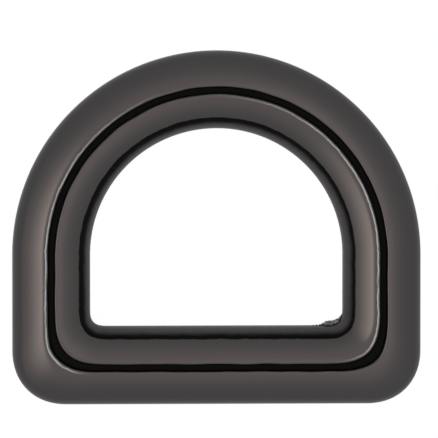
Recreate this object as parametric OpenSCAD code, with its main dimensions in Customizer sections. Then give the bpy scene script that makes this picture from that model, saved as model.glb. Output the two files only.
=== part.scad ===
// Cast D ring for a 25 mm strap, lying on its flat back.
// One solid: a rounded outer rim, a narrow groove that runs all the way round, and a gently
// crowned inner band that drops to the opening. A lump of casting flash fills one inner corner.
// The origin is under the middle of the outline, +X runs along the bar and +Y points to the bow.

/* [Opening] */
// Clear width between the two sides, which is the widest strap that goes in
opening_w = 25; // [16:0.5:50]
// Straight length of each side, from the bar to the start of the bow
opening_side = 7.1; // [5:0.1:30]
// Reach of the opening's two corners beside the bar, from where the two edges would meet
opening_corner = 1.8; // [0.6:0.1:2.5]

/* [Section] */
// Thickness from the flat back to the crown
thickness = 5; // [4:0.1:8]
// Width of the wall that curves up from the opening to the inner band
wall_w = 1.2; // [0.8:0.05:2]
// Width of the inner band
band_w = 2.36; // [1.5:0.01:5]
// How far the inner band falls from its lip to its inner edge
band_drop = 0.75; // [0.1:0.05:1]
// Stretch of its ellipse that the inner band takes up, in degrees from the top
band_sweep = 54; // [20:1:80]
// Width of the rounded outer rim
rim_w = 3.43; // [2:0.01:6]
// Height of the plain upright stretch round the outside
rim_upright = 0.5; // [0.1:0.05:1]
// Height of the plain upright stretch round the opening
wall_upright = 0.75; // [0.1:0.05:1]
// Stretch of its ellipse that the wall takes up, in degrees from upright
wall_sweep = 27; // [15:1:60]
// Rounding of the back's outer edge
back_outer_r = 1.5; // [0.3:0.1:2]
// Rounding of the back's inner edge
back_inner_r = 1; // [0.3:0.1:1.5]

/* [Groove] */
// Width between the groove's two lips
groove_w = 0.71; // [0.5:0.01:1.5]
// Depth of the groove under the crown
groove_depth = 0.8; // [0.4:0.05:1.5]
// Draft of each groove wall, as a width
groove_draft = 0.1; // [0.05:0.01:0.2]
// Rounding of the two lips
lip_r = 0.12; // [0.05:0.01:0.3]

/* [Corners] */
// Reach of the corner at the inner band's inner edge
band_corner = 3.3; // [1:0.1:5]
// Reach of the corner at the groove's inner lip
groove_in_corner = 5.5; // [2:0.1:6]
// Reach of the corner at the groove's outer lip
groove_out_corner = 5.4; // [2:0.1:6]
// Reach of the corner at the outside
outer_corner = 5.4; // [3:0.1:8]
// Power of the corners' curve from the opening to the groove: 2 is a circle, and more is squarer
corner_power = 3; // [2:0.1:4]
// Power of the corners' curve at the outside
outer_corner_power = 2.2; // [2:0.1:4]

/* [Casting flash] */
// Distance from the upper end of the opening's right corner to the start of the flash
flash_start = 0.6; // [0:0.1:1]
// Length of the flash, from there round the corner on to the bar
flash_l = 2.8; // [1:0.1:3]
// How far its largest lump stands out of the wall
flash_out = 0.45; // [0.2:0.05:0.8]
// Height of the middle of the flash above the back
flash_h = 1.5; // [1.3:0.1:2.5]

/* [Hidden] */
gunmetal = "#5a5654";

// Steps in each curve of the section and round each corner
BACK_STEPS = 4;
WALL_STEPS = 6;
BAND_STEPS = 4;
LIP_STEPS = 2;
RIM_STEPS = 9;
CORNER_STEPS = 12;
BOW_FN = 96;
LUMP_FN = 32;

// Distances of the section's lines from the opening
half_w = opening_w / 2;
band_edge = wall_w;
groove_in = band_edge + band_w;
groove_out = groove_in + groove_w;
ring_w = groove_out + rim_w;
floor_in = groove_in + groove_draft;
floor_out = groove_out - groove_draft;
// Heights of the section's lines above the back
wall_foot = back_inner_r + wall_upright;
wall_top = thickness - band_drop;
groove_floor = thickness - groove_depth;
rim_foot = back_outer_r + rim_upright;
// The bow's centre, which puts the origin under the middle of the outline
bow_y = (opening_side - half_w) / 2;

// Points of an ellipse with half axes rx and rz, from angle a0 to a1
function arc(cx, cz, rx, rz, a0, a1, steps) = [
    for (i = [0:steps]) let (a = a0 + (a1 - a0) * i / steps) [cx + rx * cos(a), cz + rz * sin(a)]];

// Half axes of an ellipse whose arc, over a sweep from one of its axes, gets to a given distance
// along the curve's first heading and falls by a given amount across it
function half_axes(ahead, fall, sweep) = [ahead / sin(sweep), fall / (1 - cos(sweep))];
// The wall is upright at its foot, and the inner band is level at the groove's lip
wall_axes = half_axes(wall_top - wall_foot, wall_w, wall_sweep);
band_axes = half_axes(band_w - lip_r, band_drop, band_sweep);

// The section holds [distance from the opening, height]. It starts on the back under the groove's
// inner foot, goes up the wall and across the face, and ends under the groove's outer foot.
inner_part = concat(
    [[floor_in, 0]],
    arc(back_inner_r, back_inner_r, back_inner_r, back_inner_r, 270, 180, BACK_STEPS),
    arc(wall_axes[1], wall_foot, wall_axes[1], wall_axes[0], 180, 180 - wall_sweep, WALL_STEPS),
    arc(groove_in - lip_r, thickness - band_axes[1], band_axes[0], band_axes[1],
        90 + band_sweep * (1 - 1 / BAND_STEPS), 90, BAND_STEPS - 1),
    arc(groove_in - lip_r, thickness - lip_r, lip_r, lip_r, 90 - 90 / LIP_STEPS, 0, LIP_STEPS - 1),
    [[floor_in, groove_floor]]);
outer_part = concat(
    [[floor_out, groove_floor]],
    arc(groove_out + lip_r, thickness - lip_r, lip_r, lip_r, 180, 90, LIP_STEPS),
    arc(groove_out + lip_r, rim_foot, rim_w - lip_r, thickness - rim_foot,
        90 - 90 / RIM_STEPS, 0, RIM_STEPS - 1),
    arc(ring_w - back_outer_r, back_outer_r, back_outer_r, back_outer_r, 360, 270, BACK_STEPS),
    [[floor_out, 0]]);
section = concat(inner_part, outer_part);
POINTS = len(section);

// Triangles that fill the section: a fan over each convex part, and two under the groove's floor
INNER = len(inner_part);
LAST = POINTS - 1;
fill = concat(
    [for (i = [1:INNER - 2]) [0, i, i + 1]],
    [[0, INNER - 1, INNER], [0, INNER, LAST]],
    [for (i = [INNER:LAST - 2]) [LAST, i, i + 1]]);

// Reach and power of the corner's curve at lines of the section, and between them in proportion
CORNER_R = [
    [0, opening_corner], [band_edge, band_corner], [groove_in, groove_in_corner],
    [groove_out, groove_out_corner], [ring_w, outer_corner]];
CORNER_N = [[groove_out, corner_power], [ring_w, outer_corner_power]];
// Straight stretch at each end of a corner piece
CORNER_LEAD = 0.4;
corner_reach = max([for (line = CORNER_R) line[1] - line[0]]) + CORNER_LEAD;

// Distance from the centre at an angle of the curve x^n + y^n = r^n
function curve_r(r, n, a) = r * pow(pow(cos(a), n) + pow(sin(a), n), -1 / n);

// Place of a section point in a corner: at the seam on the side, at a step round the corner, or
// at the seam on the bar
function corner_xy(d, ring) =
    let (a = 90 * min(max((ring - 1) / CORNER_STEPS, 0), 1),
         r = lookup(d, CORNER_R), q = curve_r(r, lookup(d, CORNER_N), a))
    ring == 0 ? [half_w + d, corner_reach - opening_side] :
    ring == CORNER_STEPS + 2 ? [half_w - corner_reach, -opening_side - d] :
    [half_w + d - r + q * cos(a), r - opening_side - d - q * sin(a)];

module corner() {
    rings = CORNER_STEPS + 3;
    far = (rings - 1) * POINTS;
    points = [for (ring = [0:rings - 1], p = section) concat(corner_xy(p[0], ring), p[1])];
    skin = [for (ring = [0:rings - 2], i = [0:LAST], half = [0, 1])
        let (a = ring * POINTS + i, b = ring * POINTS + (i + 1) % POINTS)
        half == 0 ? [a, b, b + POINTS] : [a, b + POINTS, a + POINTS]];
    ends = [for (t = fill, end = [0, 1])
        end == 0 ? [t[0], t[2], t[1]] : [far + t[0], far + t[1], far + t[2]]];
    polyhedron(points, concat(skin, ends));
}

module bow() {
    rotate_extrude(angle = 180, $fn = BOW_FN) translate([half_w, 0]) polygon(section);
}

module side() {
    length = opening_side - corner_reach;
    rotate([90, 0, 0]) linear_extrude(length) translate([half_w, 0]) polygon(section);
}

module bar() {
    length = opening_w - 2 * corner_reach;
    translate([-length / 2, -opening_side, 0])
        rotate([90, 0, 90]) linear_extrude(length) mirror([1, 0]) polygon(section);
}

// Lumps of flash as [place along the flash, size], both as shares
FLASH_LUMPS = [
    [0.08, 0.3], [0.2, 0.5], [0.34, 0.75], [0.48, 0.9], [0.63, 1], [0.77, 0.95], [0.91, 0.55]];
// Points of the opening's edge, from the upper end of its right corner on to the bar
edge = [for (ring = [1:CORNER_STEPS + 2]) corner_xy(0, ring)];
// Distance of a point of the edge from its first one, and place at a distance along it
function edge_run(i) = i == 0 ? 0 : edge_run(i - 1) + norm(edge[i] - edge[i - 1]);
function edge_xy(run) =
    [for (k = [0, 1]) lookup(run, [for (i = [0:len(edge) - 1]) [edge_run(i), edge[i][k]]])];

module flash() {
    for (lump = FLASH_LUMPS)
        translate(concat(edge_xy(flash_start + lump[0] * flash_l), flash_h))
            sphere(flash_out * lump[1], $fn = LUMP_FN);
}

module d_ring() {
    color(gunmetal) translate([0, bow_y, 0]) {
        bow();
        bar();
        flash();
        for (k = [0, 1]) mirror([k, 0, 0]) {
            side();
            corner();
        }
    }
}

d_ring();
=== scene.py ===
"""Cast D ring for a 25 mm strap, plated in black nickel and lying on its flat back.

The casting is one closed surface. Its section, drawn as distance from the opening against
height, is carried round the bow, the sides, the two corners and the bar. Casting flash swells
out of the opening's wall in one corner. The shapes and the masks on them are worked out in
millimetres, and grid_piece writes the mesh in metres. The stage is in metres throughout.
"""

import bpy
import numpy as np
from mathutils import Matrix, Vector


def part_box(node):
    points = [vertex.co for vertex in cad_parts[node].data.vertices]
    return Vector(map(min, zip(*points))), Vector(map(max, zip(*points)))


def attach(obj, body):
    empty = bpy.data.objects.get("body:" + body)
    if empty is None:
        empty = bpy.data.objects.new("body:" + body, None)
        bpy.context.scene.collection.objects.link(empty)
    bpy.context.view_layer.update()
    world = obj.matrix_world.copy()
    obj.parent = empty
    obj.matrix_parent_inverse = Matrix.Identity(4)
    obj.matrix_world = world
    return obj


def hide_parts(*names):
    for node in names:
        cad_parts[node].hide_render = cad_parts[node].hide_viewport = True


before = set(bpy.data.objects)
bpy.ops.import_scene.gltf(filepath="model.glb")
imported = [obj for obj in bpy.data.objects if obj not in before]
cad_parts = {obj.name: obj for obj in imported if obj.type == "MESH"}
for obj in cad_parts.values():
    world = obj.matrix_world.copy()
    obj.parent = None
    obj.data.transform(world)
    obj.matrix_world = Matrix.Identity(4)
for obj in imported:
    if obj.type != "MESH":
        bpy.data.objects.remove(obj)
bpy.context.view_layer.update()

MM = 0.001                 # a millimetre, in metres

# Sizes of the casting: lengths in millimetres, sweeps in degrees, and powers without a unit
OPENING_W = 25.0
OPENING_CORNER = 1.8
WALL_W = 1.2
BAND_W = 2.36
BAND_DROP = 0.75
BAND_SWEEP = 54.0
GROOVE_W = 0.71
GROOVE_DEPTH = 0.8
GROOVE_DRAFT = 0.1
LIP_R = 0.12
RIM_UPRIGHT = 0.5
WALL_UPRIGHT = 0.75
WALL_SWEEP = 27.0
BACK_OUTER_R = 1.5
BACK_INNER_R = 1.0
BAND_CORNER = 3.3
GROOVE_IN_CORNER = 5.5
GROOVE_OUT_CORNER = 5.4
OUTER_CORNER = 5.4
CORNER_POWER = 3.0
OUTER_CORNER_POWER = 2.2
CORNER_LEAD = 0.4
# Casting flash in the right corner of the opening, and its lumps as [place along it, size]
FLASH_START = 0.6
FLASH_L = 2.8
FLASH_OUT = 0.45
FLASH_H = 1.5
FLASH_LUMPS = np.array([
    [0.08, 0.3], [0.2, 0.5], [0.34, 0.75], [0.48, 0.9], [0.63, 1.0], [0.77, 0.95], [0.91, 0.55],
    [1.02, 0.3], [1.14, 0.25], [1.26, 0.2]])

# What follows from the sizes and from the frame's box
low, high = (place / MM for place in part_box("d_ring"))
THICKNESS = high.z - low.z
OUTER_R = (high.x - low.x) / 2
HALF_W = OPENING_W / 2
RING_W = OUTER_R - HALF_W
OPENING_SIDE = high.y - low.y - OUTER_R - RING_W
BOW_Y = (OPENING_SIDE - HALF_W) / 2
GROOVE_IN = WALL_W + BAND_W
GROOVE_OUT = GROOVE_IN + GROOVE_W
GROOVE_MIDDLE = (GROOVE_IN + GROOVE_OUT) / 2
RIM_W = RING_W - GROOVE_OUT
GROOVE_FLOOR = THICKNESS - GROOVE_DEPTH
WALL_FOOT = BACK_INNER_R + WALL_UPRIGHT
WALL_TOP = THICKNESS - BAND_DROP
RIM_FOOT = BACK_OUTER_R + RIM_UPRIGHT

# Reach of the corners' curve at some distances from the opening. It shrinks out over the opening,
# where the flash goes.
CORNER_LINES = [-OPENING_CORNER, 0, WALL_W, GROOVE_IN, GROOVE_OUT, RING_W]
CORNER_RADII = [0, OPENING_CORNER, BAND_CORNER, GROOVE_IN_CORNER, GROOVE_OUT_CORNER, OUTER_CORNER]
# How far a corner's stretch runs along each of the opening's two edges that meet there
CORNER_REACH = max(r - d for d, r in zip(CORNER_LINES[1:], CORNER_RADII[1:])) + CORNER_LEAD


def smoothstep(low_edge, high_edge, value):
    """0 below the low edge, 1 above the high one, and a smooth S between them."""
    t = np.clip((value - low_edge) / (high_edge - low_edge), 0, 1)
    return t * t * (3 - 2 * t)


# The section

ARC_POINTS = 60


def arc(centre, radii, start, end):
    """Points of an ellipse between two angles in degrees.

    Each is the centre plus the radii times the angle's cosine and sine."""
    a = np.radians(np.linspace(start, end, ARC_POINTS))
    return np.column_stack([centre[0] + radii[0] * np.cos(a), centre[1] + radii[1] * np.sin(a)])


def along(points, measure, where):
    """Points of the closed outline where its running measure has the given values."""
    loop = np.vstack([points, points[:1]])
    return np.column_stack([np.interp(where, measure, loop[:, k]) for k in (0, 1)])


def running_length(points):
    """Distance along the closed outline at each point, and once more at its end."""
    step = np.linalg.norm(np.roll(points, -1, axis=0) - points, axis=1)
    return np.concatenate([[0], np.cumsum(step)])


def section_outline():
    """The section's corners and arcs in order: back, wall, inner band, groove, rim and back again.

    The wall is an arc that stands upright on the back's rounding. The inner band is the start of
    an ellipse whose top is at the groove's lip, and the rim is a quarter of an ellipse."""
    sweep = np.radians(WALL_SWEEP)
    wall = (WALL_W / (1 - np.cos(sweep)), (WALL_TOP - WALL_FOOT) / np.sin(sweep))
    sweep = np.radians(BAND_SWEEP)
    band = ((BAND_W - LIP_R) / np.sin(sweep), BAND_DROP / (1 - np.cos(sweep)))
    return np.vstack([
        arc((BACK_INNER_R, BACK_INNER_R), (BACK_INNER_R, BACK_INNER_R), 270, 180),
        arc((wall[0], WALL_FOOT), wall, 180, 180 - WALL_SWEEP),
        arc((GROOVE_IN - LIP_R, THICKNESS - band[1]), band, 90 + BAND_SWEEP, 90),
        arc((GROOVE_IN - LIP_R, THICKNESS - LIP_R), (LIP_R, LIP_R), 90, 0),
        [[GROOVE_IN + GROOVE_DRAFT, GROOVE_FLOOR], [GROOVE_OUT - GROOVE_DRAFT, GROOVE_FLOOR]],
        arc((GROOVE_OUT + LIP_R, THICKNESS - LIP_R), (LIP_R, LIP_R), 180, 90),
        arc((GROOVE_OUT + LIP_R, RIM_FOOT), (RIM_W - LIP_R, THICKNESS - RIM_FOOT), 90, 0),
        arc((RING_W - BACK_OUTER_R, BACK_OUTER_R), (BACK_OUTER_R, BACK_OUTER_R), 360, 270),
    ])


SECTION_POINTS = 210
FINE_STEP = 0.01           # step of the outline while it is softened
SOFTENING = 0.03           # standard width of the bell curve that softens its corners
BELL_REACH = 3             # how many of those widths the bell curve goes to each side
TURN_WEIGHT = 0.06         # millimetres of outline that one degree of turn counts for
FLASH_WEIGHT = 5.0         # extra weight of the stretch of wall that carries the flash
FLASH_MARGIN = 0.1         # how far that stretch goes over and under the largest lump


def section():
    """Distance from the opening and height of the section's points.

    The outline is softened with a bell curve. Its points are spread by a running measure, which
    adds the turn of the outline to its length, so that tight curves get most of the points."""
    corners = section_outline()
    length = running_length(corners)
    count = int(length[-1] / FINE_STEP)
    fine = along(corners, length, np.arange(count) * length[-1] / count)
    offsets = np.arange(-BELL_REACH * SOFTENING, BELL_REACH * SOFTENING, FINE_STEP)
    bell = np.exp(-0.5 * (offsets / SOFTENING) ** 2)
    shifts = np.round(offsets / FINE_STEP).astype(int)
    soft = sum(w * np.roll(fine, k, axis=0) for w, k in zip(bell / bell.sum(), shifts))
    step = np.roll(soft, -1, axis=0) - soft
    heading = np.unwrap(np.arctan2(step[:, 1], step[:, 0]))
    turn = np.abs(np.degrees(np.diff(heading, append=heading[-1])))
    by_flash = np.abs(soft[:, 1] - FLASH_H) < FLASH_OUT + FLASH_MARGIN
    extra = FLASH_WEIGHT * ((soft[:, 0] < WALL_W / 2) & by_flash)
    weight = np.linalg.norm(step, axis=1) * (1 + extra) + TURN_WEIGHT * turn
    measure = np.concatenate([[0], np.cumsum(weight)])
    points = along(soft, measure, np.arange(SECTION_POINTS) * measure[-1] / SECTION_POINTS)
    return points[:, 0], points[:, 1]


# The way round the ring. Each stretch gives the place of a section point at distance d from the
# opening, for shares t of the stretch, with the bow's centre at 0, 0.

def bow(t, d):
    """Half circle of radius HALF_W + d, from the right side over to the left one."""
    a = np.pi * t
    return (HALF_W + d) * np.cos(a), (HALF_W + d) * np.sin(a)


def side(t, d):
    """Straight line beside the opening on the right, from the bow down to the corner."""
    return HALF_W + d + 0 * t, (CORNER_REACH - OPENING_SIDE) * t + 0 * d


LEAD_SHARE = 0.2           # share of the corner's stretch that each of its straight leads takes


def corner(t, d):
    """Right corner: a straight lead, a quarter of the curve x^n + y^n = r^n, and another lead.

    Its reach r and its power n follow d."""
    side_lead = np.clip(t / LEAD_SHARE, 0, 1)
    bar_lead = np.clip((t - 1 + LEAD_SHARE) / LEAD_SHARE, 0, 1)
    a = np.pi / 2 * np.clip((t - LEAD_SHARE) / (1 - 2 * LEAD_SHARE), 0, 1)
    r = np.interp(d, CORNER_LINES, CORNER_RADII)
    n = np.interp(d, [GROOVE_OUT, RING_W], [CORNER_POWER, OUTER_CORNER_POWER])
    q = r * (np.cos(a) ** n + np.sin(a) ** n) ** (-1 / n)
    spare = CORNER_REACH - r + d
    x = HALF_W + d - r + q * np.cos(a) - spare * bar_lead
    y = r - OPENING_SIDE - d - q * np.sin(a) + spare * (1 - side_lead)
    return x, y


def bar(t, d):
    """Straight bar under the opening, from the left corner to the right one."""
    return (HALF_W - CORNER_REACH) * (2 * t - 1) + 0 * d, -OPENING_SIDE - d + 0 * t


BOW_STEPS = 132
SIDE_STEPS = 14
CORNER_STEPS = 34
BAR_STEPS = 44
FLASH_BAR_SHARE = 0.08     # share of the bar, at its right end, that carries some of the flash
FLASH_BAR_STEPS = 32       # steps along that share
FLASH_STEPS = 100          # steps round the right corner, which carries the rest of it


def shares(steps, start=0.0, end=1.0):
    """Equal shares of a stretch, without its end, as a column."""
    return np.linspace(start, end, steps, endpoint=False)[:, None]


# Stretches of the way round, in order, as (shape, shares of it, 1 or -1 for its left-hand mirror)
STRETCHES = [
    (bow, shares(BOW_STEPS), 1),
    (side, shares(SIDE_STEPS), -1),
    (corner, shares(CORNER_STEPS), -1),
    (bar, shares(BAR_STEPS, 0, 1 - FLASH_BAR_SHARE), 1),
    (bar, shares(FLASH_BAR_STEPS, 1 - FLASH_BAR_SHARE, 1), 1),
    (corner, 1 - shares(FLASH_STEPS), 1),
    (side, 1 - shares(SIDE_STEPS), 1)]
STATIONS = sum(len(t) for _, t, _ in STRETCHES)


def ring_places(d):
    """Places of the section's points at every station, from one row of d or a row to a station."""
    d = np.broadcast_to(d, (STATIONS, d.shape[1]))
    places, first = [], 0
    for shape, t, hand in STRETCHES:
        x, y = shape(t, d[first:first + len(t)])
        places.append((hand * x, y))
        first += len(t)
    return tuple(np.vstack(v) for v in zip(*places))


def flash_places():
    """Distance of each station from the start of the flash, along the opening's edge.

    The start is measured from the upper end of the right corner's curve."""
    x, y = (v[:, 0] for v in ring_places(np.zeros((1, 1))))
    step = np.hypot(np.diff(x), np.diff(y))
    run = np.concatenate([[0], np.cumsum(step)])
    curve_end = len(x) - SIDE_STEPS - round(LEAD_SHARE * FLASH_STEPS)
    return (run[curve_end] - run - FLASH_START)[:, None]


RIPPLE_WAVES = 12
RIPPLE_SPREAD = (0.7, 1.5)     # least and greatest share of its stated frequency that a wave has


def ripples(rng, u, v, wavelength):
    """Sum of sine waves of random headings and phases over the plane u, v, from about -1 to 1."""
    heading = rng.uniform(0, 2 * np.pi, RIPPLE_WAVES)
    phase = rng.uniform(0, 2 * np.pi, RIPPLE_WAVES)
    stretch = rng.uniform(*RIPPLE_SPREAD, RIPPLE_WAVES)
    waves = [
        np.sin(2 * np.pi * s / wavelength * (u * np.cos(h) + v * np.sin(h)) + p)
        for h, p, s in zip(heading, phase, stretch)]
    return sum(waves) / np.sqrt(RIPPLE_WAVES)


FLASH_SEED = 5
FLASH_WARP = 0.04          # how far the lumps are warped, in millimetres
FLASH_WARP_WAVES = (0.5, 0.4)  # wavelengths of the warp along the flash and of the one upwards
FLASH_ROUGHNESS = 0.1      # share of its height by which the flash is rough
FLASH_ROUGH_WAVE = 0.16    # wavelength of that roughness


def flash_height(s, z):
    """How far the flash stands out of the wall, at distance s along it and height z.

    It is the highest of several spheres centred on the wall, whose places are warped by short
    ripples, and its surface is roughened by shorter ones."""
    rng = np.random.default_rng(FLASH_SEED)
    s = s + FLASH_WARP * ripples(rng, s, z, FLASH_WARP_WAVES[0])
    z = z + FLASH_WARP * ripples(rng, s, z, FLASH_WARP_WAVES[1])
    gaps = [
        (FLASH_OUT * size) ** 2 - (s - place * FLASH_L) ** 2 - (z - FLASH_H) ** 2
        for place, size in FLASH_LUMPS]
    height = np.sqrt(np.clip(np.max(gaps, axis=0), 0, None))
    return height * (1 + FLASH_ROUGHNESS * ripples(rng, s, z, FLASH_ROUGH_WAVE))


LIP_SEED = 11
LIP_WOBBLE = 0.02          # how far the lips wander, in millimetres
LIP_WOBBLE_WAVE = 4.0      # wavelength of the wander
LIP_WOBBLE_FADE = (0.1, 0.8)   # distances from a lip between which its wander fades away


def lip_wobble(d, x, y):
    """Sideways wander of the groove's two lips, in ripples that fade away from each lip."""
    rng = np.random.default_rng(LIP_SEED)
    near_in = 1 - smoothstep(*LIP_WOBBLE_FADE, np.abs(d - GROOVE_IN))
    near_out = 1 - smoothstep(*LIP_WOBBLE_FADE, np.abs(d - GROOVE_OUT))
    wander_in = ripples(rng, x, y, LIP_WOBBLE_WAVE)
    wander_out = ripples(rng, x, y, LIP_WOBBLE_WAVE)
    return LIP_WOBBLE * (near_in * wander_in + near_out * wander_out)


def grid_piece(name, x, y, z):
    """Closed surface through the points of a grid that joins up in both directions.

    Where the sum of the volumes between its faces and the origin is negative, the faces are
    turned round, so that they point outwards."""
    rows, columns = x.shape
    points = np.stack([x, y, z], axis=-1).reshape(-1, 3)
    at = np.arange(rows * columns).reshape(rows, columns)
    next_row, next_column = np.roll(at, -1, axis=0), np.roll(at, -1, axis=1)
    across = np.roll(next_row, -1, axis=1)
    quads = np.stack([at, next_column, across, next_row], axis=-1).reshape(-1, 4)
    a, b, c, e = (points[quads[:, k]] for k in range(4))
    volume = np.sum(a * (np.cross(b, c) + np.cross(c, e))) / 6
    if volume < 0:
        quads = quads[:, ::-1]
    mesh = bpy.data.meshes.new(name)
    mesh.vertices.add(len(points))
    mesh.vertices.foreach_set("co", (points * MM).astype(np.float32).ravel())
    mesh.loops.add(quads.size)
    mesh.loops.foreach_set("vertex_index", quads.ravel().astype(np.int32))
    mesh.polygons.add(len(quads))
    mesh.polygons.foreach_set("loop_start", np.arange(0, quads.size, 4, dtype=np.int32))
    mesh.update(calc_edges=True)
    mesh.shade_smooth()
    piece = bpy.data.objects.new(name, mesh)
    bpy.context.scene.collection.objects.link(piece)
    return piece


def add_mask(piece, name, values):
    """Stores one number for each point of the mesh, for the materials to read."""
    layer = piece.data.attributes.new(name, "FLOAT", "POINT")
    layer.data.foreach_set("value", np.ascontiguousarray(values, np.float32).ravel())


# Painted highlight on the groove's lips whose rounding faces +X, where a low light would catch
# them:
# the outward heading at which it is strongest, in degrees from +X, and the cosines of the angle off
# it at which it starts and is full
BAND_HIGHLIGHT = (3.0, -0.1, 0.95)
RIM_HIGHLIGHT_BY_BOW = (-170.0, 0.0, 1.0)
RIM_HIGHLIGHT_BY_BAR = (180.0, 0.0, 0.5)
FLASH_EDGE = 0.1           # height of the flash at which its mask is full, in millimetres


def outward_heading(x, y):
    """Heading square to the way round the ring and away from the opening, in radians."""
    ahead_x = np.roll(x, -1, axis=0) - np.roll(x, 1, axis=0)
    ahead_y = np.roll(y, -1, axis=0) - np.roll(y, 1, axis=0)
    return np.arctan2(-ahead_x, ahead_y)


def lip_highlight_share(heading, middle, off, full):
    """How strongly the painted highlight shows on a lip: a smooth step over the cosine of the angle
    off the middle.
    """
    return smoothstep(off, full, np.cos(heading - np.radians(middle)))


def d_ring():
    """The casting. Its attributes say where the flash is, how strongly the painted highlight shows
    on the lip beside each point, the outward heading and, on the face alone, the distance from the
    opening in millimetres."""
    d, z = section()
    x, y = ring_places(d[None, :])
    wobble = lip_wobble(d[None, :], x, y)
    flash = flash_height(flash_places(), z[None, :]) * (d < WALL_W / 2)
    x, y = ring_places(d[None, :] + wobble - flash)
    piece = grid_piece("d_ring_casting", x, y + BOW_Y, z + 0 * x)
    heading = outward_heading(x, y)
    # Painted highlight: the lips whose rounding faces +X are marked brighter, as a low light would
    # make them
    by_bow = np.sin(heading) > 0
    rim_highlight = np.where(by_bow, lip_highlight_share(heading, *RIM_HIGHLIGHT_BY_BOW), lip_highlight_share(heading, *RIM_HIGHLIGHT_BY_BAR))
    band_highlight = lip_highlight_share(heading, *BAND_HIGHLIGHT)
    add_mask(piece, "painted_lip_highlight", np.where(d < GROOVE_MIDDLE, band_highlight, rim_highlight))
    add_mask(piece, "outward_x", np.cos(heading))
    add_mask(piece, "outward_y", np.sin(heading))
    add_mask(piece, "from_opening", np.where(z > GROOVE_FLOOR / 2, d, 0) + 0 * x)
    add_mask(piece, "flash", smoothstep(0, FLASH_EDGE, flash))
    return piece


# Finishes

# Numbers of a colour mix's sockets, which share their names with its other sockets
MIX_FACTOR = 0
MIX_COLOURS = (6, 7)
MIX_RESULT = 2


class Nodes:
    """Adds nodes to a tree and links their sockets, for short material code."""

    def __init__(self, tree):
        self.tree = tree

    def add(self, kind, **settings):
        """A new node with the given settings."""
        node = self.tree.nodes.new(kind)
        for key, value in settings.items():
            setattr(node, key, value)
        return node

    def link(self, source, node, socket):
        """Leads an output to a node's input, which is given by name or number."""
        self.tree.links.new(source, node.inputs[socket])

    def math(self, operation, a, b=None):
        """One step of arithmetic on numbers and outputs."""
        node = self.add("ShaderNodeMath", operation=operation)
        for k, value in enumerate((a, b)):
            if isinstance(value, (int, float)):
                node.inputs[k].default_value = value
            elif value is not None:
                self.link(value, node, k)
        return node.outputs[0]

    def remap(self, value, from_low, from_high, to_low=0.0, to_high=1.0):
        """Smooth step of an output from one range to another."""
        node = self.add("ShaderNodeMapRange", interpolation_type="SMOOTHSTEP")
        self.link(value, node, "Value")
        ends = {"From Min": from_low, "From Max": from_high, "To Min": to_low, "To Max": to_high}
        for socket, number in ends.items():
            node.inputs[socket].default_value = number
        return node.outputs["Result"]

    def noise(self, scale, detail, roughness):
        """Noise over the object's own coordinates, from about 0 to 1."""
        place = self.add("ShaderNodeTexCoord")
        node = self.add("ShaderNodeTexNoise")
        self.link(place.outputs["Object"], node, "Vector")
        for socket, number in (("Scale", scale), ("Detail", detail), ("Roughness", roughness)):
            node.inputs[socket].default_value = number
        return node.outputs["Fac"]

    def swing(self, noise, amount):
        """Noise that swings about 0, times an amount."""
        return self.math("MULTIPLY", self.math("SUBTRACT", self.noise(*noise), 0.5), amount)

    def mask(self, name):
        """Number that the mesh holds for each point."""
        return self.add("ShaderNodeAttribute", attribute_name=name).outputs["Fac"]

    def mix(self, factor, a, b):
        """Mix of two colours by an output. Each colour may be an output too."""
        node = self.add("ShaderNodeMix", data_type="RGBA")
        self.link(factor, node, MIX_FACTOR)
        for k, colour in zip(MIX_COLOURS, (a, b)):
            if isinstance(colour, bpy.types.NodeSocket):
                self.link(colour, node, k)
            else:
                node.inputs[k].default_value = (*colour, 1)
        return node.outputs[MIX_RESULT]


# Scale in waves to a metre, detail and roughness of each noise
GRAIN_NOISE = (2600.0, 3.0, 0.6)
WAVES_NOISE = (160.0, 1.0, 0.4)
DRIFT_NOISE = (220.0, 3.0, 0.55)
EDGE_NOISE = (1100.0, 3.0, 0.5)
PATCH_NOISE = (700.0, 3.0, 0.5)
CRACK_NOISE = (2300.0, 4.0, 0.7)


def cast_grain_group():
    """Fine grain and slow waviness of a cast and plated skin, as a height in millimetres."""
    tree = bpy.data.node_groups.new("cast_grain", "ShaderNodeTree")
    for socket in ("Grain", "Waves"):
        tree.interface.new_socket(socket, in_out="INPUT", socket_type="NodeSocketFloat")
    tree.interface.new_socket("Height", in_out="OUTPUT", socket_type="NodeSocketFloat")
    nodes = Nodes(tree)
    given = nodes.add("NodeGroupInput").outputs
    fine = nodes.math("MULTIPLY", nodes.noise(*GRAIN_NOISE), given["Grain"])
    slow = nodes.math("MULTIPLY", nodes.noise(*WAVES_NOISE), given["Waves"])
    nodes.link(nodes.math("ADD", fine, slow), nodes.add("NodeGroupOutput"), "Height")
    return tree


CAST_GRAIN = cast_grain_group()


def cast_skin(nodes, shader, grain, waves):
    """Bump of the cast skin, with a material's own heights of grain and waves in millimetres."""
    skin = nodes.add("ShaderNodeGroup", node_tree=CAST_GRAIN)
    skin.inputs["Grain"].default_value = grain
    skin.inputs["Waves"].default_value = waves
    bump = nodes.add("ShaderNodeBump")
    bump.inputs["Distance"].default_value = MM
    nodes.link(skin.outputs["Height"], bump, "Height")
    nodes.link(bump.outputs["Normal"], shader, "Normal")


def new_material(name):
    """A new material, its nodes and its Principled shader."""
    material = bpy.data.materials.new(name)
    material.use_nodes = True
    return material, Nodes(material.node_tree), material.node_tree.nodes["Principled BSDF"]


NICKEL = (0.1138, 0.1, 0.0955)
NICKEL_PALE = (0.1255, 0.11, 0.1058)
NICKEL_DRIFT = 0.25        # how far the noise swings the nickel's tone and roughness
NICKEL_ROUGHNESS = 0.15
NICKEL_GRAIN = 0.0006
NICKEL_WAVES = 0.012
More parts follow.
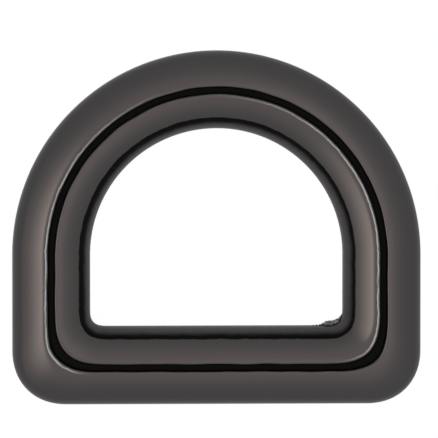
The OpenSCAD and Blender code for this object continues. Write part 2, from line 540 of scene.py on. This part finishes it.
# Colour of the painted highlight on the lips
PAINTED_LIP_HIGHLIGHT = (0.57, 0.565, 0.56)
# Colour of the black lacquer in the groove, and of the painted dark reflection along the top of the
# opening's wall
LACQUER_AND_PAINTED_REFLECTION = (0.0054, 0.0049, 0.004)
LACQUER_AND_REFLECTION_SPECULAR = 0.05
LACQUER_AND_REFLECTION_ROUGHNESS = 0.25   # what the lacquer and the painted dark reflection add to the roughness
# Distances from the opening between which the dark comes up and ends: the painted dark reflection
# on the wall, and the black lacquer at the groove's two lips
WALL_FADE = (0.32, 0.87)
WALL_END = (1.09, 1.17)
BAND_SIDE = (GROOVE_IN - 0.04, GROOVE_IN + 0.06)
RIM_SIDE = (GROOVE_OUT - 0.01, GROOVE_OUT + 0.03)
# How much further out the painted dark reflection's two are where the outward heading is along X
# and along Y
FADE_LEAN = (0.08, 0.0)
END_LEAN = (-0.04, 0.09)
LINE_OFF = 0.22            # distance of each painted highlight line from the groove
LINE_REACH = 0.11          # distance from its middle at which a painted highlight line has faded
# Range of the noise over which a painted highlight line goes from its weaker to its full strength
LINE_PATCHES = (0.3, 0.6, 0.6, 1.0)
WANDER = 0.22              # how far the noise moves the highlight lines and the edges of the lacquer and of the painted dark reflection


def leaning(nodes, lean):
    """Sum of the outward heading's two parts, each times its own share."""
    parts = [
        nodes.math("MULTIPLY", nodes.mask(name), share)
        for name, share in zip(("outward_x", "outward_y"), lean)]
    return nodes.math("ADD", *parts)


def black_nickel():
    """Satin black nickel, with a painted highlight along the groove's lips that face +X. Black
    lacquer fills the groove, and a painted dark reflection runs along the top of the opening's
    wall; their edges wander a little."""
    material, nodes, shader = new_material("black_nickel")
    drift = nodes.swing(DRIFT_NOISE, NICKEL_DRIFT)
    colour = nodes.mix(nodes.math("ADD", drift, 0.5), NICKEL, NICKEL_PALE)
    place = nodes.mask("from_opening")
    wander = nodes.swing(EDGE_NOISE, WANDER)
    # Painted highlight: a thin bright line beside the groove on the lips that face +X
    off_middle = nodes.math("ABSOLUTE", nodes.math("SUBTRACT", place, GROOVE_MIDDLE))
    off_middle = nodes.math("ADD", off_middle, wander)
    off_line = nodes.math("ABSOLUTE", nodes.math("SUBTRACT", off_middle, GROOVE_W / 2 + LINE_OFF))
    line = nodes.remap(off_line, 0.0, LINE_REACH, 1.0, 0.0)
    line = nodes.math("MULTIPLY", line, nodes.mask("painted_lip_highlight"))
    patchy = nodes.remap(nodes.noise(*PATCH_NOISE), *LINE_PATCHES)
    colour = nodes.mix(nodes.math("MULTIPLY", line, patchy), colour, PAINTED_LIP_HIGHLIGHT)
    place = nodes.math("ADD", place, wander)
    past_band = nodes.remap(place, *BAND_SIDE)
    before_rim = nodes.remap(place, *RIM_SIDE, 1.0, 0.0)
    in_groove = nodes.math("MULTIPLY", past_band, before_rim)
    # Painted dark reflection of the opposite wall, as a dark band along the top of the opening's
    # wall
    fade_place = nodes.math("SUBTRACT", place, leaning(nodes, FADE_LEAN))
    end_place = nodes.math("SUBTRACT", place, nodes.math("MAXIMUM", leaning(nodes, END_LEAN), 0.0))
    past_fade = nodes.remap(fade_place, *WALL_FADE)
    before_end = nodes.remap(end_place, *WALL_END, 1.0, 0.0)
    painted_wall_reflection = nodes.math("MULTIPLY", past_fade, before_end)
    lacquer_and_painted_reflection = nodes.math("MAXIMUM", in_groove, painted_wall_reflection)
    nodes.link(nodes.mix(lacquer_and_painted_reflection, colour, LACQUER_AND_PAINTED_REFLECTION), shader, "Base Color")
    nodes.link(nodes.math("SUBTRACT", 1.0, lacquer_and_painted_reflection), shader, "Metallic")
    shader.inputs["Specular IOR Level"].default_value = LACQUER_AND_REFLECTION_SPECULAR
    satin = nodes.math("MULTIPLY", nodes.math("ADD", drift, 1.0), NICKEL_ROUGHNESS)
    dull = nodes.math("MULTIPLY", lacquer_and_painted_reflection, LACQUER_AND_REFLECTION_ROUGHNESS)
    nodes.link(nodes.math("ADD", satin, dull), shader, "Roughness")
    cast_skin(nodes, shader, NICKEL_GRAIN, NICKEL_WAVES)
    return material


FLASH_GREY = (0.6, 0.59, 0.58)
FLASH_DARK = (0.28, 0.28, 0.28)
CRACK_EDGES = (0.42, 0.6)  # range of the noise between the cracks and the tops
CRACK_ROUGHNESS = 0.6
TOP_ROUGHNESS = 0.45
FLASH_GRAIN = 0.015


def raw_flash():
    """Dull, torn metal of the flash, grey on its tops and dark in its cracks."""
    material, nodes, shader = new_material("raw_flash")
    tops = nodes.remap(nodes.noise(*CRACK_NOISE), *CRACK_EDGES)
    nodes.link(nodes.mix(tops, FLASH_DARK, FLASH_GREY), shader, "Base Color")
    shader.inputs["Metallic"].default_value = 1.0
    smoother = nodes.math("MULTIPLY", tops, TOP_ROUGHNESS - CRACK_ROUGHNESS)
    nodes.link(nodes.math("ADD", smoother, CRACK_ROUGHNESS), shader, "Roughness")
    cast_skin(nodes, shader, FLASH_GRAIN, 0.0)
    return material


def on_faces(piece, mask):
    """Whether a mask is more than half at all four corners of each face."""
    values = np.zeros(len(piece.data.vertices), np.float32)
    piece.data.attributes[mask].data.foreach_get("value", values)
    corners = np.zeros(len(piece.data.loops), np.int32)
    piece.data.loops.foreach_get("vertex_index", corners)
    return values[corners].reshape(-1, 4).min(axis=1) > 0.5


ring = d_ring()
ring.data.materials.append(black_nickel())
ring.data.materials.append(raw_flash())
ring.data.polygons.foreach_set("material_index", on_faces(ring, "flash").astype(np.int32))
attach(ring, "root")
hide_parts("d_ring")


# Stage: a pale floor, a pale dome of light, two soft boxes and the camera

def turned(back, up):
    """Rotation of a camera or light whose back is to a direction, with its top towards up."""
    across = up.cross(back).normalized()
    return Matrix((across, back.cross(across), back)).transposed().to_quaternion()


FLOOR_SIZE = 4.0
FLOOR_WHITE = (0.66, 0.68, 0.69)
FLOOR_GLOW = 1.1
FLOOR_SHOWN = 0.88         # share of plain white in the floor as the camera sees it


def floor():
    """Plain pale floor under the ring, nearly shadowless to the camera."""
    mesh = bpy.data.meshes.new("floor")
    h = FLOOR_SIZE / 2
    mesh.from_pydata([(-h, -h, 0), (h, -h, 0), (h, h, 0), (-h, h, 0)], [], [(0, 1, 2, 3)])
    piece = bpy.data.objects.new("floor", mesh)
    bpy.context.scene.collection.objects.link(piece)
    material, nodes, shader = new_material("floor_white")
    shader.inputs["Base Color"].default_value = (*FLOOR_WHITE, 1)
    shader.inputs["Roughness"].default_value = 1.0
    shader.inputs["Specular IOR Level"].default_value = 0.0
    glow = nodes.add("ShaderNodeEmission")
    glow.inputs["Strength"].default_value = FLOOR_GLOW
    path = nodes.add("ShaderNodeLightPath")
    share = nodes.math("MULTIPLY", path.outputs["Is Camera Ray"], FLOOR_SHOWN)
    mix = nodes.add("ShaderNodeMixShader")
    nodes.link(share, mix, 0)
    nodes.link(shader.outputs[0], mix, 1)
    nodes.link(glow.outputs[0], mix, 2)
    nodes.link(mix.outputs[0], nodes.tree.nodes["Material Output"], "Surface")
    mesh.materials.append(material)


DOME_ZENITH = 0.75
DOME_HORIZON = 0.5
DOME_CURVE = 3.3           # power of the height at which the dome goes from one to the other
ZENITH_COLOUR = (1.0, 1.0, 1.0)
HORIZON_COLOUR = (0.925, 1.0, 1.05)


def dome():
    """Pale dome, brighter overhead than at the horizon."""
    world = bpy.data.worlds.new("dome")
    bpy.context.scene.world = world
    world.use_nodes = True
    nodes = Nodes(world.node_tree)
    place = nodes.add("ShaderNodeTexCoord")
    axes = nodes.add("ShaderNodeSeparateXYZ")
    nodes.link(place.outputs["Generated"], axes, 0)
    up = nodes.math("POWER", nodes.math("MAXIMUM", axes.outputs["Z"], 0.0), DOME_CURVE)
    lift = nodes.math("MULTIPLY", up, DOME_ZENITH - DOME_HORIZON)
    background = world.node_tree.nodes["Background"]
    nodes.link(nodes.math("ADD", lift, DOME_HORIZON), background, "Strength")
    nodes.link(nodes.mix(up, HORIZON_COLOUR, ZENITH_COLOUR), background, "Color")


BOX_DISTANCE = 1.6
BOX_LENGTH = 3.2
KEY_BOX = {
    "heading": 192, "start": 11.5, "end": 85, "glow": 1.55, "tail": 0.1, "power": 2.05,
    "spread": 34, "colour": (1.0, 0.93, 0.88)}
FILL_BOX = {
    "heading": 0, "start": 3, "end": 26, "glow": 0.25, "tail": 0.0, "power": 1.0,
    "spread": 60, "colour": (1.0, 0.98, 0.96)}


def soft_box(name, heading, start, end, glow, tail, power, spread, colour):
    """Soft box over the ring, from start to end degrees off the vertical, towards a heading.

    Its radiance is glow at the edge nearer to the camera, and falls to tail times that at the
    far edge, along a power of the way across. Seen from the ring it fades in a bell curve to
    both sides of its heading, over a spread in degrees."""
    heading, start, end, spread = np.radians((heading, start, end, spread))
    middle = (start + end) / 2
    width = 2 * BOX_DISTANCE * np.tan((end - start) / 2)
    light = bpy.data.lights.new(name, "AREA")
    light.shape = "RECTANGLE"
    light.size = width
    light.size_y = BOX_LENGTH
    light.energy = glow * np.pi * width * BOX_LENGTH
    light.color = colour
    light.use_nodes = True
    nodes = Nodes(light.node_tree)
    spot = nodes.add("ShaderNodeNewGeometry")
    axes = nodes.add("ShaderNodeSeparateXYZ")
    nodes.link(spot.outputs["Parametric"], axes, 0)
    from_top = BOX_DISTANCE * np.tan(middle) + width / 2
    out = nodes.math("SUBTRACT", from_top, nodes.math("MULTIPLY", axes.outputs["X"], width))
    aside = nodes.math("MULTIPLY", nodes.math("SUBTRACT", axes.outputs["Y"], 0.5), BOX_LENGTH)
    slant = nodes.math("DIVIDE", nodes.math("DIVIDE", aside, out), np.cos(middle) * np.tan(spread))
    squared = nodes.math("MULTIPLY", slant, slant)
    bell = nodes.math("EXPONENT", nodes.math("MULTIPLY", squared, -1.0))
    fade = nodes.math("MULTIPLY", nodes.math("POWER", axes.outputs["X"], power), 1 - tail)
    level = nodes.math("MULTIPLY", nodes.math("ADD", fade, tail), bell)
    nodes.link(level, light.node_tree.nodes["Emission"], "Strength")
    box = bpy.data.objects.new(name, light)
    bpy.context.scene.collection.objects.link(box)
    flat = Vector((np.cos(heading), np.sin(heading), 0))
    towards = flat * np.sin(middle) + Vector((0, 0, np.cos(middle)))
    box.location = towards * BOX_DISTANCE
    box.rotation_mode = "QUATERNION"
    box.rotation_quaternion = turned(towards, Vector((0, 0, 1)).cross(-flat))
    box.visible_camera = False


CAMERA_DISTANCE = 1.0
CAMERA_LEAN_X = np.radians(-2.3)
CAMERA_LEAN_Y = np.radians(3.7)
FRAME_WIDTH = 0.043275     # width of the view at the ring
AIM_FROM_MIDDLE = (0.000223, 0.000861, 0)
SENSOR = 36.0              # width of the camera's sensor, in millimetres as Blender takes it


def camera():
    """Camera almost straight above the ring, leaning a little to the left and to the bow."""
    data = bpy.data.cameras.new("camera")
    data.sensor_width = SENSOR
    data.lens = SENSOR * CAMERA_DISTANCE / FRAME_WIDTH
    viewer = bpy.data.objects.new("camera", data)
    bpy.context.scene.collection.objects.link(viewer)
    box_low, box_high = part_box("d_ring")
    aim = (box_low + box_high) / 2 + Vector(AIM_FROM_MIDDLE)
    back = Vector((np.sin(CAMERA_LEAN_X), np.sin(CAMERA_LEAN_Y), 1)).normalized()
    viewer.location = aim + back * CAMERA_DISTANCE
    viewer.rotation_mode = "QUATERNION"
    viewer.rotation_quaternion = turned(back, Vector((0, 1, 0)))
    bpy.context.scene.camera = viewer


floor()
dome()
soft_box("key_box", **KEY_BOX)
soft_box("fill_box", **FILL_BOX)
camera()
bpy.context.scene.view_settings.view_transform = "Standard"
